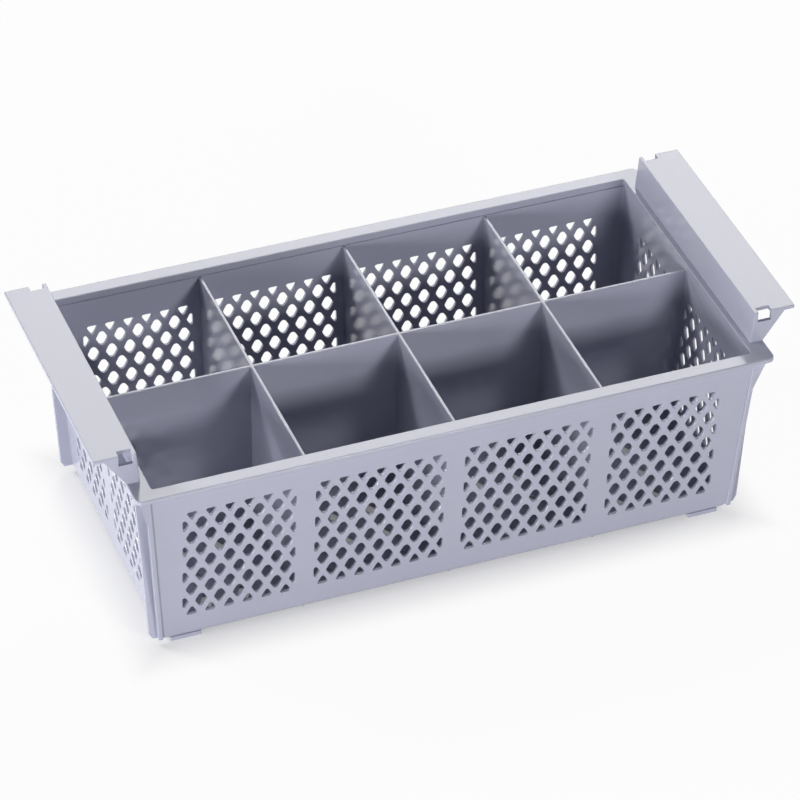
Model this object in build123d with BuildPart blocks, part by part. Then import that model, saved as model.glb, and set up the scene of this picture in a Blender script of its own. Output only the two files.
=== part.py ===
"""Half-size cutlery basket for a dishwasher rack: one moulding in grey polypropylene.

Millimetres, +Z up. The origin is on the surface that the feet stand on, under the middle
of the basket. X runs along the length, from handle to handle, and Y across the width.
"""

import os
from math import cos, radians, sin, tan

from build123d import *

# Compartments, measured at the floor; the outer ones run to the walls' outer faces
compartment_columns = 4
divider_spacing = 91.6
end_bay_length = 86.8
side_bay_width = 87.5
divider_thickness = 2.0

# Shell
rim_height = 122.0
wall_draft = 3.9
wall_thickness = 2.2
floor_thickness = 2.5
bottom_radius = 5.5

# Rim flange, and the step inside its sides that the dividers come up to
rim_overhang_end = 9.6
rim_overhang_side = 8.2
rim_thickness = 3.0
rim_corner_radius = 4.0
mouth_depth = 4.5
mouth_step_side = 1.0

# Ledge handles
handle_rise = 21.0
handle_reach = 25.5
handle_setback = 3.55
handle_lean = 5.0
handle_inset = 2.2
handle_wall_thickness = 2.2
handle_plate_thickness = 2.5
handle_web_thickness = 2.2
handle_web_foot = 7.1
handle_web_reach = 20.5
notch_width = 8.5
notch_length = 5.0
notch_depth = 7.0

# Ribs down the corners, fins on the end walls beside them, and the gussets that spread above both
rib_width = 2.85
rib_reach = 2.2
rib_proud = 1.2
fin_inset = 1.5
fin_thickness = 2.2
fin_reach = 7.0
fin_edge_draft = 3.3
fin_rise = 3.0
fin_toe = 4.0
fin_drop = 11.0
gusset_height = 26.0
gusset_spread = 4.0
gusset_reach = 7.2
gusset_sink = 0.4

# Feet
foot_height = 1.4
foot_length = 19.0
foot_width = 10.0
foot_end_inset = 5.4
foot_side_inset = 1.0

# Diamond openings in the walls, and the least plain strips left round their panels
hole_width = 7.8
hole_height = 11.8
row_pitch = 20.06
side_column_pitch = 11.45
end_column_pitch = 12.0
divider_strip = 11.4
side_corner_strip = 13.4
end_corner_strip = 22.6
top_strip = 23.0
bottom_strip = 14.5

# Diamond openings in the floor
floor_hole_width = 9.0
floor_hole_length = 14.0
floor_hole_pitch = 23.0
floor_edge_strip = 12.5

# Worked out from the sizes above
draft_run = tan(radians(wall_draft))
base_length = (compartment_columns - 2) * divider_spacing + 2 * end_bay_length
base_width = 2 * side_bay_width
cross_dividers = [
    (column - compartment_columns / 2) * divider_spacing
    for column in range(1, compartment_columns)
]
floor_top = foot_height + floor_thickness
rim_underside = rim_height - rim_thickness
ledge_height = rim_height - mouth_depth
overall_height = rim_height + handle_rise
plate_underside = overall_height - handle_plate_thickness
fin_bottom = foot_height + fin_rise
fin_top = rim_underside - fin_drop
gusset_bottom = rim_underside - gusset_height
panel_top = rim_height - top_strip
row_pairs = int((panel_top - floor_top - bottom_strip) / row_pitch)
panel_bottom = panel_top - row_pairs * row_pitch
panel_middle = (panel_top + panel_bottom) / 2
wall_overlap = wall_thickness / 2
cut_margin = wall_thickness / 2


def half_length(height):
    """Half the length over the end walls' outer faces at a height."""
    return base_length / 2 + (height - foot_height) * draft_run


def half_width(height):
    """Half the width over the side walls' outer faces at a height."""
    return base_width / 2 + (height - foot_height) * draft_run


def handle_face(height):
    """Distance from the middle to the inner face of a handle's wall at a height."""
    return mouth_half_length + handle_setback + (height - rim_height) * tan(radians(handle_lean))


def fin_edge(height):
    """Distance from the middle to the outer edge of a fin at a height."""
    return base_length / 2 + fin_reach + (height - foot_height) * tan(radians(fin_edge_draft))


def bays(dividers, limit, pitch):
    """Middle and number of the openings that fit between dividers, out to a limit each way."""
    starts = [-limit] + [place + divider_strip / 2 for place in dividers]
    stops = [place - divider_strip / 2 for place in dividers] + [limit]
    return [((start + stop) / 2, int((stop - start) / pitch)) for start, stop in zip(starts, stops)]


def side_plane(side):
    """Plane just outside a side wall, level with the middle of its panels; side is -1 or 1."""
    lean = radians(wall_draft)
    face = Plane(
        origin=(0, side * half_width(panel_middle), panel_middle),
        x_dir=(-side, 0, 0),
        z_dir=(0, side * cos(lean), -sin(lean)),
    )
    return face.offset(cut_margin)


def end_plane(side):
    """Plane just outside an end wall, level with the middle of its panels; side is -1 or 1."""
    lean = radians(wall_draft)
    face = Plane(
        origin=(side * half_length(panel_middle), 0, panel_middle),
        x_dir=(0, side, 0),
        z_dir=(side * cos(lean), 0, -sin(lean)),
    )
    return face.offset(cut_margin)


def diamond(width, height):
    """A diamond opening at each of the current locations."""
    Polygon((width / 2, 0), (0, height / 2), (-width / 2, 0), (0, -height / 2))


def lattice(panels, pitch):
    """Staggered diamonds of a row of panels, in the current sketch."""
    for middle, columns in panels:
        with Locations((middle, 0)):
            with GridLocations(pitch, row_pitch, columns, row_pairs - 1):
                diamond(hole_width, hole_height)
            with GridLocations(pitch, row_pitch, columns - 1, row_pairs):
                diamond(hole_width, hole_height)


# Worked out from the drafted walls
mouth_half_length = half_length(ledge_height) - wall_thickness
mouth_half_width = half_width(ledge_height) - wall_thickness + mouth_step_side
handle_tip = handle_face(overall_height) + handle_reach
handle_half_length = base_width / 2 - handle_inset
notch_middle = handle_face(overall_height) + handle_wall_thickness + notch_width / 2
gusset_root = half_length(gusset_bottom) - wall_overlap
fin_plane = base_width / 2 - fin_inset
side_panels = bays(cross_dividers, half_length(panel_bottom) - side_corner_strip, side_column_pitch)
end_panels = bays([0], half_width(panel_bottom) - end_corner_strip, end_column_pitch)
floor_columns = bays(cross_dividers, base_length / 2 - floor_edge_strip, floor_hole_pitch)
floor_rows = bays([0], base_width / 2 - floor_edge_strip, floor_hole_pitch)


# Space inside the walls, from the floor up to the ledge
with BuildPart() as hollow:
    with BuildSketch(Plane.XY.offset(floor_top)):
        Rectangle(
            2 * (half_length(floor_top) - wall_thickness),
            2 * (half_width(floor_top) - wall_thickness),
        )
    extrude(amount=ledge_height - floor_top)
    walls = hollow.faces().filter_by(Axis.Z, reverse=True)
    draft(walls, neutral_plane=Plane.XY.offset(floor_top), angle=-wall_draft)


with BuildPart() as basket:
    # Drafted shell with a rounded bottom, and the rim flange round its top
    with BuildSketch(Plane.XY.offset(foot_height)):
        Rectangle(base_length, base_width)
    extrude(amount=rim_underside - foot_height)
    walls = basket.faces().filter_by(Axis.Z, reverse=True)
    draft(walls, neutral_plane=Plane.XY.offset(foot_height), angle=-wall_draft)
    fillet(basket.edges().group_by(Axis.Z)[0], radius=bottom_radius)
    with BuildSketch(Plane.XY.offset(rim_underside)):
        RectangleRounded(
            2 * (half_length(rim_underside) + rim_overhang_end),
            2 * (half_width(rim_underside) + rim_overhang_side),
            rim_corner_radius,
        )
    extrude(amount=rim_thickness)

    for side in (-1, 1):
        for end in (-1, 1):
            # Fin along the corner, standing out from the end wall
            fin_face = end * fin_plane
            with BuildSketch(Plane.XZ.offset(-fin_face)):
                with BuildLine():
                    Polyline(
                        (side * (half_length(fin_bottom) - wall_overlap), fin_bottom),
                        (side * (fin_edge(fin_bottom) - fin_toe / 2), fin_bottom),
                        (side * fin_edge(fin_bottom + fin_toe), fin_bottom + fin_toe),
                        (side * fin_edge(fin_top), fin_top),
                        (side * (half_length(fin_top) - wall_overlap), fin_top),
                        close=True,
                    )
                make_face()
            extrude(amount=end * fin_thickness)

            # Rib down the corner's edge, proud of the side wall and of the end wall
            for height in (fin_bottom, rim_underside):
                outer = half_length(height) + rib_reach
                front = half_width(height) + rib_proud
                back = half_width(height) - wall_thickness
                with BuildSketch(Plane.XY.offset(height)):
                    Polygon(
                        (side * outer, end * front),
                        (side * (outer - rib_width), end * front),
                        (side * (outer - rib_width), end * back),
                        (side * outer, end * back),
                        align=None,
                    )
            loft(ruled=True)

            # Gusset that spreads from just inside the rib to the corner of the rim
            for height, reach, spread in (
                (gusset_bottom, rib_reach - gusset_sink, rib_proud - gusset_sink),
                (rim_underside, gusset_reach, gusset_spread),
            ):
                with BuildSketch(Plane.XY.offset(height)):
                    Polygon(
                        (side * gusset_root, end * (half_width(height) - gusset_sink)),
                        (side * gusset_root, fin_face - end * wall_overlap),
                        (side * (half_length(height) + reach / 2), fin_face - end * wall_overlap),
                        (side * (half_length(height) + reach), end * (half_width(height) + spread)),
                        align=None,
                    )
            loft(ruled=True)

    # Inside of the shell up to the ledge, then the wider mouth
    add(hollow.part, mode=Mode.SUBTRACT)
    with BuildSketch(Plane.XY.offset(ledge_height)):
        Rectangle(2 * mouth_half_length, 2 * mouth_half_width)
    extrude(amount=mouth_depth, mode=Mode.SUBTRACT)

    # One divider along the middle and the rest across it
    with BuildSketch(Plane.XZ):
        with BuildLine():
            Polyline(
                (-half_length(floor_top) + wall_overlap, foot_height + floor_thickness / 2),
                (half_length(floor_top) - wall_overlap, foot_height + floor_thickness / 2),
                (half_length(ledge_height) - wall_overlap, ledge_height),
                (-half_length(ledge_height) + wall_overlap, ledge_height),
                close=True,
            )
        make_face()
    extrude(amount=divider_thickness / 2, both=True)
    for place in cross_dividers:
        with BuildSketch(Plane.YZ.offset(place)):
            with BuildLine():
                Polyline(
                    (-half_width(floor_top) + wall_overlap, foot_height + floor_thickness / 2),
                    (half_width(floor_top) - wall_overlap, foot_height + floor_thickness / 2),
                    (half_width(ledge_height) - wall_overlap, ledge_height),
                    (-half_width(ledge_height) + wall_overlap, ledge_height),
                    close=True,
                )
            make_face()
        extrude(amount=divider_thickness / 2, both=True)

    for side in (-1, 1):
        # Ledge handle: a wall that rises from the end rim and a plate that reaches outwards
        with BuildSketch(Plane.XZ):
            with BuildLine():
                Polyline(
                    (side * handle_face(rim_underside), rim_underside),
                    (side * handle_face(overall_height), overall_height),
                    (side * handle_tip, overall_height),
                    (side * handle_tip, plate_underside),
                    (side * (handle_face(plate_underside) + handle_wall_thickness), plate_underside),
                    (side * (handle_face(rim_underside) + handle_wall_thickness), rim_underside),
                    close=True,
                )
            make_face()
        extrude(amount=handle_half_length, both=True)

        for end in (-1, 1):
            # Web that closes each end of the handle
            web_face = end * handle_half_length
            with BuildSketch(Plane.XZ.offset(-web_face)):
                with BuildLine():
                    Polyline(
                        (side * handle_face(rim_underside), rim_underside),
                        (side * handle_face(overall_height), overall_height),
                        (side * (handle_face(overall_height) + handle_web_reach), overall_height),
                        (side * (handle_face(rim_underside) + handle_web_foot), rim_underside),
                        close=True,
                    )
                make_face()
            extrude(amount=end * handle_web_thickness)

            # Notch through the plate and the web, against the wall
            with BuildSketch(Plane.XY.offset(overall_height)):
                with Locations((side * notch_middle, web_face)):
                    Rectangle(notch_width, 2 * notch_length)
            extrude(amount=-notch_depth, mode=Mode.SUBTRACT)

    # Feet under the corners, run up into the rounded bottom
    with BuildSketch():
        with GridLocations(
            base_length - 2 * foot_end_inset - foot_length,
            base_width - 2 * foot_side_inset - foot_width,
            2,
            2,
        ):
            Rectangle(foot_length, foot_width)
    extrude(amount=foot_height + floor_thickness / 2)

    # Diamond openings in the side walls, the end walls and the floor
    with BuildSketch(side_plane(-1), side_plane(1)):
        lattice(side_panels, side_column_pitch)
    with BuildSketch(end_plane(-1), end_plane(1)):
        lattice(end_panels, end_column_pitch)
    extrude(amount=-(wall_thickness + 2 * cut_margin), mode=Mode.SUBTRACT)
    with BuildSketch(Plane.XY.offset(foot_height)):
        for middle_x, columns in floor_columns:
            for middle_y, rows in floor_rows:
                with Locations((middle_x, middle_y)):
                    with GridLocations(floor_hole_pitch, floor_hole_pitch, columns, rows):
                        diamond(floor_hole_width, floor_hole_length)
    extrude(amount=floor_thickness, mode=Mode.SUBTRACT)

basket.part.label = "basket"
os.makedirs("parts", exist_ok=True)
export_step(basket.part, "parts/basket.step")
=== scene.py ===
"""Looks of the cutlery basket: a finer moulding, its plastic, the light and the camera.

The moulding is modelled in millimetres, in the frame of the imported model, and scaled to metres.
"""

from math import cos, radians, sin, tan

import bmesh
import bpy
from mathutils import Matrix, Vector


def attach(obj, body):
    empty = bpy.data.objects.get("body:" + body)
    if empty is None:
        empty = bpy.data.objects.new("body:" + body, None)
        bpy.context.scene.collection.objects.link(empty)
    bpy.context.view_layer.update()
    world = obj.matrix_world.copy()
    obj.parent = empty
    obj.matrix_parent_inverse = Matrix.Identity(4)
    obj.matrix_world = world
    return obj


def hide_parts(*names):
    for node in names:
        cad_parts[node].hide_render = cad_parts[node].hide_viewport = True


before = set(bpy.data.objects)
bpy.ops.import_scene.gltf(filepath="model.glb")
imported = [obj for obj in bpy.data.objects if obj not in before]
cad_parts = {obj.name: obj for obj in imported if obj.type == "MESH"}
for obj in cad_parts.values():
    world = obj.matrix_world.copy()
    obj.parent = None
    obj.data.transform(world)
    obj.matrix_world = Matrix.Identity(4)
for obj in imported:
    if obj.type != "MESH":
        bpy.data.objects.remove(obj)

# Objects of the startup file
for name in ("Cube", "Light", "Camera"):
    if name in bpy.data.objects:
        bpy.data.objects.remove(bpy.data.objects[name])

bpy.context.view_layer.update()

# Shell, in millimetres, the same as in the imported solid
base_half_length = 178.4
base_half_width = 87.5
wall_draft = radians(3.9)
wall_thickness = 2.2
floor_top = 3.9
floor_middle = 2.65
bottom_radius = 5.5
cross_dividers = (-91.6, 0.0, 91.6)
divider_thickness = 2.0

# Rim, and the step inside its sides
rim_half_length = 196.01
rim_half_width = 103.71
rim_underside = 119.0
rim_top = 122.0
rim_corner_radius = 4.0
mouth_half_length = 184.115
mouth_half_width = 94.215
ledge_height = 117.5

# Ledge handles
handle_top = 143.0
handle_setback = 3.55
handle_lean = radians(5.0)
handle_wall_thickness = 2.2
handle_plate_thickness = 2.5
handle_reach = 25.49
handle_half_length = 85.3
web_thickness = 2.2
web_foot = 7.1
web_reach = 20.5
notch_width = 8.5
notch_length = 5.0
notch_depth = 7.0

# Ribs, fins and gussets at the corners
rib_width = 2.85
rib_reach = 2.2
rib_proud = 1.2
fin_plane = 86.0
fin_thickness = 2.2
fin_reach = 7.0
fin_draft = radians(3.3)
fin_bottom = 4.4
fin_toe = 4.0
fin_top = 108.0
gusset_bottom = 93.0
gusset_reach = 7.2
gusset_spread = 4.0
gusset_sink = 0.4

# Feet
foot_height = 1.4
foot_length = 19.0
foot_width = 10.0
foot_end_inset = 5.4
foot_side_inset = 1.0

# Diamond openings: sizes of the sharp diamond, then the radius that rounds it
hole_width = 7.6
hole_height = 14.0
hole_radius = 2.0
half_hole_radius = 1.1
hole_flare = 0.07
hole_flare_depth = 0.35
row_pitch = 20.06
row_pairs = 4
panel_top = 99.0
side_column_pitch = 11.45
end_column_pitch = 12.0
divider_strip = 11.4
side_corner_strip = 13.4
end_corner_strip = 22.6
floor_hole_width = 9.0
floor_hole_length = 14.0
floor_hole_radius = 1.0
floor_hole_pitch = 23.0
floor_edge_strip = 12.5

# Rounded edges, and how far one solid reaches into the next
edge_rounding = 0.5
soft_rounding = 0.8
corner_radius = 1.0
mouth_corner_radius = 1.5
overlap = 1.1
arc_steps = 3
bevel_steps = 2
edge_angles = (0, 15, 30, 45, 60, 75, 90)
sharp_angle = radians(50.0)
metres = 0.001

# Plastic: its two greys, the scale and share of its marks, and its face
shade_grey = (0.374, 0.38, 0.472, 1)
light_grey = (0.414, 0.42, 0.518, 1)
cloud_scale = 28.0
cloud_share = 0.6
flow_stretch = (9.0, 9.0, 70.0)
flow_share = 0.4
grain_scale = 1500.0
grain_strength = 0.05
grain_height = 0.0002
least_roughness = 0.1
cloud_roughness = 0.06
grain_roughness = 0.03
refraction = 1.49

# Studio floor, in metres: where its white glow starts and is full, past a painted shade round the
# basket's footprint, and how white it glows in and past that painted shade
white = (1, 1, 1, 1)
floor_reach = 6.0
floor_grey = (0.86, 0.86, 0.87, 1)
floor_roughness = 0.9
painted_shade_end_fade = (0.16, 0.21)
painted_shade_side_fade = (0.07, 0.12)
glow_in_painted_shade = 0.15
glow_past_painted_shade = 0.79

# Points that the lamps face, in metres, and the level of the world
basket_middle = (0, 0, 0.1)
front_middle = (0, 0, 0.06)
left_end = (-0.18, 0, 0.06)
right_end = (0.18, 0, 0.06)
ambient = 0.04

# Camera of the photograph, in metres; lens and sensor in millimetres
camera_place = (-0.75018, -1.92164, 1.66662)
camera_azimuth = radians(21.36)
camera_elevation = radians(37.78)
camera_roll = radians(0.77)
camera_lens = 197.3
camera_sensor = 36.0

# Worked out from the sizes above
panel_bottom = panel_top - row_pairs * row_pitch
panel_middle = (panel_top + panel_bottom) / 2
plate_underside = handle_top - handle_plate_thickness
corners = [(side, end) for side in (-1, 1) for end in (-1, 1)]


def half_length(height):
    """Half the length over the end walls' outer faces at a height."""
    return base_half_length + (height - foot_height) * tan(wall_draft)


def half_width(height):
    """Half the width over the side walls' outer faces at a height."""
    return base_half_width + (height - foot_height) * tan(wall_draft)


def handle_face(height):
    """Distance from the middle to the inner face of a handle's wall at a height."""
    return mouth_half_length + handle_setback + (height - rim_top) * tan(handle_lean)


def fin_edge(height):
    """Distance from the middle to the outer edge of a fin at a height."""
    return base_half_length + fin_reach + (height - foot_height) * tan(fin_draft)


def bays(dividers, limit, pitch):
    """Middle and number of the openings that fit between dividers, out to a limit each way."""
    starts = [-limit] + [place + divider_strip / 2 for place in dividers]
    stops = [place - divider_strip / 2 for place in dividers] + [limit]
    return [((start + stop) / 2, int((stop - start) / pitch)) for start, stop in zip(starts, stops)]


def spread(count, pitch):
    """Places of a number of things at a pitch, about zero."""
    return [(index - (count - 1) / 2) * pitch for index in range(count)]


# Meshes

def rounded(outline, radius):
    """Flat outline with each of its corners turned into an arc."""
    points = []
    for index, corner in enumerate(outline):
        corner = Vector(corner)
        before = (Vector(outline[index - 1]) - corner).normalized()
        after = (Vector(outline[(index + 1) % len(outline)]) - corner).normalized()
        half_angle = before.angle(after) / 2
        centre = corner + (before + after).normalized() * radius / sin(half_angle)
        start = corner + before * radius / tan(half_angle) - centre
        stop = corner + after * radius / tan(half_angle) - centre
        for step in range(arc_steps + 1):
            arm = start.slerp(stop, step / arc_steps).normalized() * radius
            points.append(centre + arm)
    return points


def rectangle(half_x, half_y):
    """Corners of a rectangle about the middle."""
    return [(half_x, half_y), (-half_x, half_y), (-half_x, -half_y), (half_x, -half_y)]


def level(outline, height):
    """A flat outline lifted to a height."""
    return [(x, y, height) for x, y in outline]


def add_loft(mesh, rings):
    """Add a closed solid through rings of as many points each, capped at both ends."""
    loops = [[mesh.verts.new(point) for point in ring] for ring in rings]
    faces = [mesh.faces.new(loops[0]), mesh.faces.new(loops[-1])]
    for lower, upper in zip(loops, loops[1:]):
        for index in range(len(lower)):
            wall = (lower[index - 1], lower[index], upper[index], upper[index - 1])
            faces.append(mesh.faces.new(wall))
    bmesh.ops.recalc_face_normals(mesh, faces=faces)


def finished(name, mesh):
    """Object made from a finished mesh."""
    data = bpy.data.meshes.new(name)
    mesh.to_mesh(data)
    mesh.free()
    thing = bpy.data.objects.new(name, data)
    bpy.context.scene.collection.objects.link(thing)
    return thing


def loft(name, rings, rounding=0.0):
    """Object that is one loft, with its edges rounded if asked."""
    mesh = bmesh.new()
    add_loft(mesh, rings)
    if rounding:
        bmesh.ops.bevel(
            mesh, geom=mesh.edges[:], offset=rounding, segments=bevel_steps, profile=0.5,
            affect="EDGES",
        )
    return finished(name, mesh)


def prism(name, outline, sweep, rounding):
    """Object swept from a flat outline of points along a vector, with its edges rounded."""
    return loft(name, [outline, [Vector(point) + Vector(sweep) for point in outline]], rounding)


def edge_profile(rounding):
    """Insets and heights of a rounded edge, from its face up to full size."""
    return [
        (rounding * (1 - sin(radians(angle))), rounding * (1 - cos(radians(angle))))
        for angle in edge_angles
    ]


# Solids of the moulding

def shell_solid(name, bottom, top, inset, rounding):
    """Shell or the space inside it, with a rounded bottom edge."""
    levels = [(bottom + rise, inset + draw) for draw, rise in edge_profile(rounding)]
    return loft(name, [
        level(rounded(rectangle(half_length(height) - draw, half_width(height) - draw),
                      corner_radius), height)
        for height, draw in levels + [(top, inset)]
    ])


def rim_flange():
    """Flat flange round the top, with rounded edges."""
    edge = edge_profile(soft_rounding)
    levels = [(inset, rim_underside + rise) for inset, rise in edge]
    levels += [(inset, rim_top - rise) for inset, rise in reversed(edge)]
    return loft("rim", [
        level(rounded(rectangle(rim_half_length - inset, rim_half_width - inset),
                      rim_corner_radius - inset), height)
        for inset, height in levels
    ])


def mouth_space():
    """Wider space above the ledge, which also rounds the inner edge of the rim."""
    levels = [(0.0, ledge_height)]
    levels += [(grow, rim_top - rise) for grow, rise in reversed(edge_profile(edge_rounding))]
    levels.append((edge_rounding, rim_top + overlap))
    return loft("mouth", [
        level(rounded(rectangle(mouth_half_length + grow, mouth_half_width + grow),
                      mouth_corner_radius), height)
        for grow, height in levels
    ])


def dividers():
    """One divider along the middle and the rest across it, with rounded tops."""
    bottom_x, top_x = half_length(floor_top) - overlap, half_length(ledge_height) - overlap
    bottom_y, top_y = half_width(floor_top) - overlap, half_width(ledge_height) - overlap
    half = divider_thickness / 2
    along = [
        (-bottom_x, -half, floor_middle),
        (bottom_x, -half, floor_middle),
        (top_x, -half, ledge_height),
        (-top_x, -half, ledge_height),
    ]
    solids = [prism("divider_along", along, (0, divider_thickness, 0), edge_rounding)]
    for number, place in enumerate(cross_dividers):
        across = [
            (place - half, -bottom_y, floor_middle),
            (place - half, bottom_y, floor_middle),
            (place - half, top_y, ledge_height),
            (place - half, -top_y, ledge_height),
        ]
        sweep = (divider_thickness, 0, 0)
        solids.append(prism(f"divider_across_{number}", across, sweep, edge_rounding))
    return solids


def handle(side):
    """Wall that rises from the end rim, leaning out, and a plate that reaches outwards."""
    root = rim_underside + overlap
    tip = handle_face(handle_top) + handle_reach
    profile = [
        (handle_face(root), root),
        (handle_face(handle_top), handle_top),
        (tip, handle_top),
        (tip, plate_underside),
        (handle_face(plate_underside) + handle_wall_thickness, plate_underside),
        (handle_face(root) + handle_wall_thickness, root),
    ]
    outline = [(side * x, -handle_half_length, z) for x, z in profile]
    return prism(f"handle_{side}", outline, (0, 2 * handle_half_length, 0), edge_rounding)


def web(side, end):
    """Web that closes one end of a handle."""
    root, top = rim_underside + overlap, handle_top - edge_rounding
    profile = [
        (handle_face(root) + edge_rounding, root),
        (handle_face(top) + edge_rounding, top),
        (handle_face(top) + web_reach, top),
        (handle_face(root) + web_foot, root),
    ]
    outline = [(side * x, end * handle_half_length, z) for x, z in profile]
    return prism(f"web_{side}_{end}", outline, (0, -end * web_thickness, 0), edge_rounding / 2)


def notch(side, end):
    """Cut through a handle's plate and web, against its wall."""
    wall = handle_face(handle_top) + handle_wall_thickness
    middle = Vector((side * (wall + notch_width / 2), end * handle_half_length))
    plan = rounded(rectangle(notch_width / 2, notch_length), edge_rounding)
    plan = [middle + point for point in plan]
    return loft(f"notch_{side}_{end}", [
        level(plan, handle_top - notch_depth),
        level(plan, handle_top + overlap),
    ])


def rib(side, end):
    """Rib down a corner's edge, proud of the side wall and of the end wall."""
    rings = []
    for height in (fin_bottom, rim_underside + overlap):
        outer, front = half_length(height) + rib_reach, half_width(height) + rib_proud
        inner, back = outer - rib_width, half_width(height) - wall_thickness
        plan = [(outer, front), (inner, front), (inner, back), (outer, back)]
        rings.append([(side * x, end * y, height) for x, y in plan])
    return loft(f"rib_{side}_{end}", rings, edge_rounding)


def fin(side, end):
    """Thin fin beside a corner, standing out from the end wall."""
    profile = [
        (half_length(fin_bottom) - overlap, fin_bottom),
        (fin_edge(fin_bottom) - fin_toe / 2, fin_bottom),
        (fin_edge(fin_bottom + fin_toe), fin_bottom + fin_toe),
        (fin_edge(fin_top), fin_top),
        (half_length(fin_top) - overlap, fin_top),
    ]
    outline = [(side * x, end * fin_plane, z) for x, z in profile]
    return prism(f"fin_{side}_{end}", outline, (0, -end * fin_thickness, 0), edge_rounding)


def gusset(side, end):
    """Gusset that spreads from just inside the rib to the corner of the rim."""
    root = half_length(gusset_bottom) - overlap
    rings = []
    for height, reach, forward in (
        (gusset_bottom, rib_reach - gusset_sink, rib_proud - gusset_sink),
        (rim_underside + overlap, gusset_reach, gusset_spread),
    ):
        plan = [
            (root, half_width(height) - gusset_sink),
            (root, fin_plane - overlap),
            (half_length(height) + reach / 2, fin_plane - overlap),
            (half_length(height) + reach, half_width(height) + forward),
        ]
        rings.append([(side * x, end * y, height) for x, y in plan])
    return loft(f"gusset_{side}_{end}", rings, edge_rounding)


def foot(side, end):
    """Shallow pad under a corner, run up into the rounded bottom."""
    middle = Vector((
        side * (base_half_length - foot_end_inset - foot_length / 2),
        end * (base_half_width - foot_side_inset - foot_width / 2),
    ))
    plan = rounded(rectangle(foot_length / 2, foot_width / 2), edge_rounding)
    plan = [middle + point for point in plan]
    return loft(f"foot_{side}_{end}", [level(plan, 0.0), level(plan, floor_middle)])


def wall_lattice(mesh, origin, across, normal, panels, pitch):
    """Cutters for the staggered diamonds of a wall, with half diamonds round each panel."""
    up = normal.cross(across) if normal.cross(across).z > 0 else across.cross(normal)
    right, top = hole_width / 2, hole_height / 2
    whole = rounded([(right, 0), (0, top), (-right, 0), (0, -top)], hole_radius)
    half = {
        turn: rounded(outline, half_hole_radius)
        for turn, outline in {
            "right": [(0, -top), (right, 0), (0, top)],
            "left": [(0, top), (-right, 0), (0, -top)],
            "up": [(right, 0), (0, top), (-right, 0)],
            "down": [(-right, 0), (0, -top), (right, 0)],
        }.items()
    }
    depths = [
        (overlap, hole_flare),
        (0, hole_flare),
        (-hole_flare_depth, 0),
        (hole_flare_depth - wall_thickness, 0),
        (-wall_thickness, hole_flare),
        (-wall_thickness - overlap, hole_flare),
    ]

    def cut(outline, u, v):
        middle = sum(outline, Vector((0, 0))) / len(outline)
        rings = []
        for depth, flare in depths:
            plan = [middle + (point - middle) * (1 + flare) for point in outline]
            rings.append([
                origin + across * (u + point.x) + up * (v + point.y) + normal * depth
                for point in plan
            ])
        add_loft(mesh, rings)

    for panel, columns in panels:
        edge = columns * pitch / 2
        for v in spread(row_pairs - 1, row_pitch):
            for u in spread(columns, pitch):
                cut(whole, panel + u, v)
        for v in spread(row_pairs, row_pitch):
            for u in spread(columns - 1, pitch):
                cut(whole, panel + u, v)
            cut(half["right"], panel - edge, v)
            cut(half["left"], panel + edge, v)
        for u in spread(columns, pitch):
            cut(half["up"], panel + u, -row_pairs * row_pitch / 2)
            cut(half["down"], panel + u, row_pairs * row_pitch / 2)


def openings():
    """One object of all the cutters for the openings in the walls and the floor."""
    mesh = bmesh.new()
    side_limit = half_length(panel_bottom) - side_corner_strip
    end_limit = half_width(panel_bottom) - end_corner_strip
    side_panels = bays(cross_dividers, side_limit, side_column_pitch)
    end_panels = bays([0], end_limit, end_column_pitch)
    for side in (-1, 1):
        origin = Vector((0, side * half_width(panel_middle), panel_middle))
        normal = Vector((0, side * cos(wall_draft), -sin(wall_draft)))
        wall_lattice(mesh, origin, Vector((1, 0, 0)), normal, side_panels, side_column_pitch)
        origin = Vector((side * half_length(panel_middle), 0, panel_middle))
        normal = Vector((side * cos(wall_draft), 0, -sin(wall_draft)))
        wall_lattice(mesh, origin, Vector((0, 1, 0)), normal, end_panels, end_column_pitch)

    right, top = floor_hole_width / 2, floor_hole_length / 2
    diamond = rounded([(right, 0), (0, top), (-right, 0), (0, -top)], floor_hole_radius)
    below, above = foot_height - overlap, floor_top + overlap
    floor_bays_along = bays(cross_dividers, base_half_length - floor_edge_strip, floor_hole_pitch)
    floor_bays_across = bays([0], base_half_width - floor_edge_strip, floor_hole_pitch)
    for middle_x, columns in floor_bays_along:
        for middle_y, rows in floor_bays_across:
            for x in spread(columns, floor_hole_pitch):
                for y in spread(rows, floor_hole_pitch):
                    plan = [Vector((middle_x + x, middle_y + y)) + point for point in diamond]
                    add_loft(mesh, [level(plan, below), level(plan, above)])
    return finished("openings", mesh)


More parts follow.
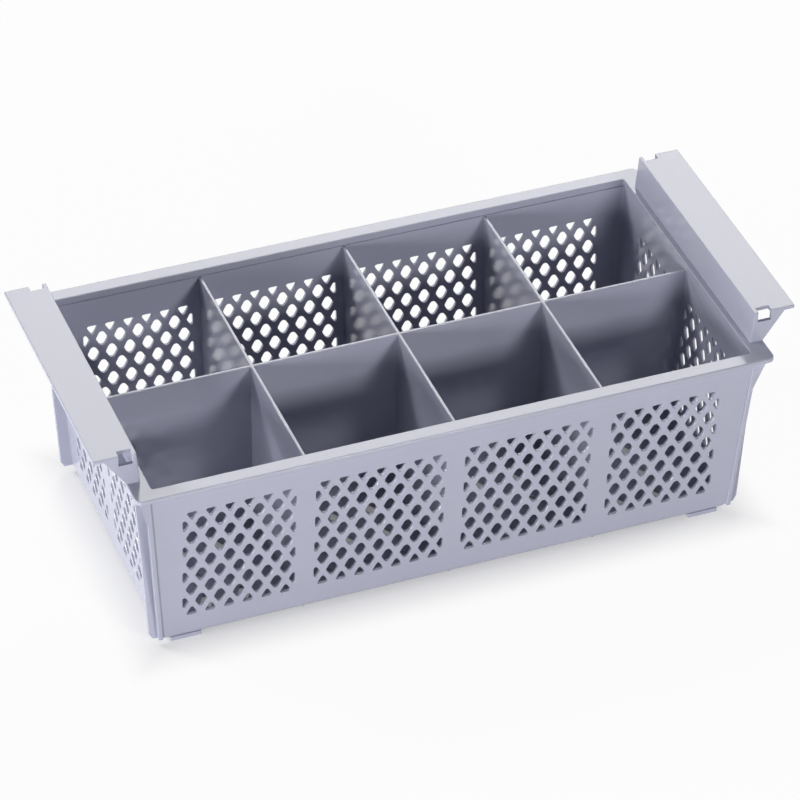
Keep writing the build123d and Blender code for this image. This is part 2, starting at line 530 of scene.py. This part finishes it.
def moulding():
    """The whole basket as one closed mesh in metres."""
    body = shell_solid("shell", foot_height, rim_underside + overlap, 0, bottom_radius)
    inside_top = ledge_height + edge_rounding
    inside = shell_solid("inside", floor_top, inside_top, wall_thickness, soft_rounding)
    steps = [(rim_flange(), "UNION")]
    steps += [(fin(side, end), "UNION") for side, end in corners]
    steps += [(rib(side, end), "UNION") for side, end in corners]
    steps += [(gusset(side, end), "UNION") for side, end in corners]
    steps.append((inside, "DIFFERENCE"))
    steps.append((mouth_space(), "DIFFERENCE"))
    steps += [(divider, "UNION") for divider in dividers()]
    steps += [(handle(side), "UNION") for side in (-1, 1)]
    steps += [(web(side, end), "UNION") for side, end in corners]
    steps += [(notch(side, end), "DIFFERENCE") for side, end in corners]
    steps += [(foot(side, end), "UNION") for side, end in corners]
    steps.append((openings(), "DIFFERENCE"))
    for tool, operation in steps:
        join = body.modifiers.new(tool.name, "BOOLEAN")
        join.operation = operation
        join.solver = "MANIFOLD"
        join.object = tool

    graph = bpy.context.evaluated_depsgraph_get()
    data = bpy.data.meshes.new_from_object(body.evaluated_get(graph), depsgraph=graph)
    for thing in [body] + [tool for tool, operation in steps]:
        bpy.data.objects.remove(thing)
    data.transform(Matrix.Scale(metres, 4))
    data.shade_smooth()
    data.set_sharp_from_angle(angle=sharp_angle)
    data.name = "basket_moulding"
    piece = bpy.data.objects.new("basket_moulding", data)
    bpy.context.scene.collection.objects.link(piece)
    normals = piece.modifiers.new("normals", "WEIGHTED_NORMAL")
    normals.keep_sharp = True
    return piece


# Shaders

class Value:
    """Socket of a shader that Python expressions work on; each operation adds a Math node."""

    def __init__(self, graph, socket):
        self.graph = graph
        self.socket = socket

    def math(self, operation, first, second):
        return self.graph.node("ShaderNodeMath", {"operation": operation}, {0: first, 1: second})

    def __add__(self, other):
        return self.math("ADD", self, other)

    def __radd__(self, other):
        return self.math("ADD", other, self)

    def __mul__(self, other):
        return self.math("MULTIPLY", self, other)

    def __rmul__(self, other):
        return self.math("MULTIPLY", other, self)

    def __abs__(self):
        return self.math("ABSOLUTE", self, 0)

    def larger(self, other):
        return self.math("MAXIMUM", self, other)


class Graph:
    """Nodes of one material or world."""

    def __init__(self, owner):
        owner.use_nodes = True
        self.tree = owner.node_tree
        self.tree.nodes.clear()

    def node(self, kind, settings, inputs, output=0):
        """Add a node: its type, its settings and then its sockets. Returns one of its outputs."""
        made = self.tree.nodes.new(kind)
        for name, value in settings.items():
            setattr(made, name, value)
        for name, value in inputs.items():
            if isinstance(value, Value):
                self.tree.links.new(value.socket, made.inputs[name])
            else:
                made.inputs[name].default_value = value
        if len(made.outputs):
            return Value(self, made.outputs[output])

    def noise(self, vector, scale, detail):
        """Noise from 0 to 1."""
        inputs = {"Vector": vector, "Scale": scale, "Detail": detail}
        return self.node("ShaderNodeTexNoise", {}, inputs, "Fac")

    def stretched(self, vector, scale):
        """Coordinates scaled by a different amount along each axis."""
        settings = {"operation": "MULTIPLY"}
        return self.node("ShaderNodeVectorMath", settings, {0: vector, 1: scale})

    def smooth(self, value, low, high):
        """0 below low, 1 above high, and a smooth step between them."""
        inputs = {"Value": value, "From Min": low, "From Max": high}
        return self.node("ShaderNodeMapRange", {"interpolation_type": "SMOOTHSTEP"}, inputs)

    def backdrop(self):
        """1 for rays that see the backdrop, directly or in a reflection, and 0 for light."""
        rays = ("Is Camera Ray", "Is Glossy Ray", "Is Transmission Ray")
        return sum(self.node("ShaderNodeLightPath", {}, {}, ray) for ray in rays)

    def blend(self, factor, first, second):
        """Mix of two colours."""
        inputs = {0: factor, 6: first, 7: second}
        return self.node("ShaderNodeMix", {"data_type": "RGBA"}, inputs, 2)


def polypropylene():
    """Cool grey moulded plastic with a satin face, faint flow marks and a fine grain."""
    material = bpy.data.materials.new("grey_polypropylene")
    graph = Graph(material)
    place = graph.node("ShaderNodeTexCoord", {}, {}, "Object")
    cloud = graph.noise(place, cloud_scale, detail=4.0)
    flow = graph.noise(graph.stretched(place, flow_stretch), 1.0, detail=3.0)
    grain = graph.noise(place, grain_scale, detail=2.0)

    colour = graph.blend(cloud * cloud_share + flow * flow_share, shade_grey, light_grey)
    rough = least_roughness + cloud * cloud_roughness + grain * grain_roughness
    bump = graph.node("ShaderNodeBump", {}, {
        "Strength": grain_strength, "Distance": grain_height, "Height": grain,
    })
    shader = graph.node("ShaderNodeBsdfPrincipled", {}, {
        "Base Color": colour, "Roughness": rough, "IOR": refraction, "Normal": bump,
    })
    graph.node("ShaderNodeOutputMaterial", {}, {"Surface": shader})
    return material


def pale_floor():
    """Floor that is nearly white to the camera beside the basket, and plainly pale under it, where
    the glow is cut back as a painted shade and the floor's real shadow shows through.
    """
    material = bpy.data.materials.new("studio_floor")
    graph = Graph(material)
    place = graph.node("ShaderNodeTexCoord", {}, {}, "Object")
    along = graph.node("ShaderNodeSeparateXYZ", {}, {"Vector": place}, "X")
    across = graph.node("ShaderNodeSeparateXYZ", {}, {"Vector": place}, "Y")
    past_end = graph.smooth(abs(along), *painted_shade_end_fade)
    past_side = graph.smooth(abs(across), *painted_shade_side_fade)
    past_painted_shade = past_end.larger(past_side)
    plain = graph.node("ShaderNodeBsdfPrincipled", {}, {
        "Base Color": floor_grey, "Roughness": floor_roughness, "Specular IOR Level": 0.0,
    })
    glow = graph.node("ShaderNodeEmission", {}, {"Color": white, "Strength": 1.0})
    # Glow seen by the camera and in reflections, cut back round the basket's footprint: a painted
    # shade there, through which the real shadow of the lit floor also shows
    seen = graph.backdrop() * (glow_in_painted_shade + glow_past_painted_shade * past_painted_shade)
    shader = graph.node("ShaderNodeMixShader", {}, {0: seen, 1: plain, 2: glow})
    graph.node("ShaderNodeOutputMaterial", {}, {"Surface": shader})
    return material


# Stage

def studio_floor():
    """Wide flat floor under the feet."""
    mesh = bmesh.new()
    outline = level(rectangle(floor_reach, floor_reach), 0)
    mesh.faces.new([mesh.verts.new(point) for point in outline])
    floor = finished("floor", mesh)
    floor.data.materials.append(pale_floor())
    return floor


def soft_light(name, place, aim, size, power):
    """Square softbox that faces a point."""
    data = bpy.data.lights.new(name, "AREA")
    data.shape = "SQUARE"
    data.size = size
    data.energy = power
    light = bpy.data.objects.new(name, data)
    light.location = place
    light.rotation_euler = (Vector(place) - Vector(aim)).to_track_quat("Z", "Y").to_euler()
    bpy.context.scene.collection.objects.link(light)


def white_world():
    """White behind everything and in reflections; a plain ambient level lights the rest."""
    world = bpy.data.worlds.new("studio")
    bpy.context.scene.world = world
    graph = Graph(world)
    light = graph.node("ShaderNodeBackground", {}, {"Color": white, "Strength": ambient})
    backdrop = graph.node("ShaderNodeBackground", {}, {"Color": white, "Strength": 1.0})
    shader = graph.node("ShaderNodeMixShader", {}, {0: graph.backdrop(), 1: light, 2: backdrop})
    graph.node("ShaderNodeOutputWorld", {}, {"Surface": shader})


def photo_camera():
    """Camera of the photograph: a long lens from the front left, with a slight roll."""
    level_ahead = Vector((sin(camera_azimuth), cos(camera_azimuth), 0))
    ahead = level_ahead * cos(camera_elevation) - Vector((0, 0, sin(camera_elevation)))
    right = Vector((cos(camera_azimuth), -sin(camera_azimuth), 0))
    above = right.cross(ahead)
    turned_right = right * cos(camera_roll) + above * sin(camera_roll)
    turned_up = above * cos(camera_roll) - right * sin(camera_roll)
    data = bpy.data.cameras.new("camera")
    data.sensor_width = camera_sensor
    data.lens = camera_lens
    camera = bpy.data.objects.new("camera", data)
    turn = Matrix((turned_right, turned_up, -ahead)).transposed().to_4x4()
    camera.matrix_world = Matrix.Translation(camera_place) @ turn
    bpy.context.scene.collection.objects.link(camera)
    bpy.context.scene.camera = camera


basket = moulding()
basket.data.materials.clear()
basket.data.materials.append(polypropylene())
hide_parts("basket")
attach(basket, "root")

studio_floor()
soft_light("back", place=(0.75, 1.9, 1.6), aim=basket_middle, size=1.2, power=24.0)
soft_light("left_back", place=(-1.6, 1.2, 1.5), aim=basket_middle, size=0.6, power=25.0)
soft_light("front", place=(0.6, -2.3, 0.95), aim=front_middle, size=0.4, power=24.0)
soft_light("front_left", place=(-1.8, -1.6, 0.3), aim=front_middle, size=0.5, power=29.0)
soft_light("left", place=(-1.6, -0.2, 0.14), aim=left_end, size=0.25, power=12.0)
soft_light("right", place=(1.7, 0.2, 0.3), aim=right_end, size=0.4, power=12.0)
white_world()
photo_camera()
bpy.context.scene.view_settings.view_transform = "Standard"
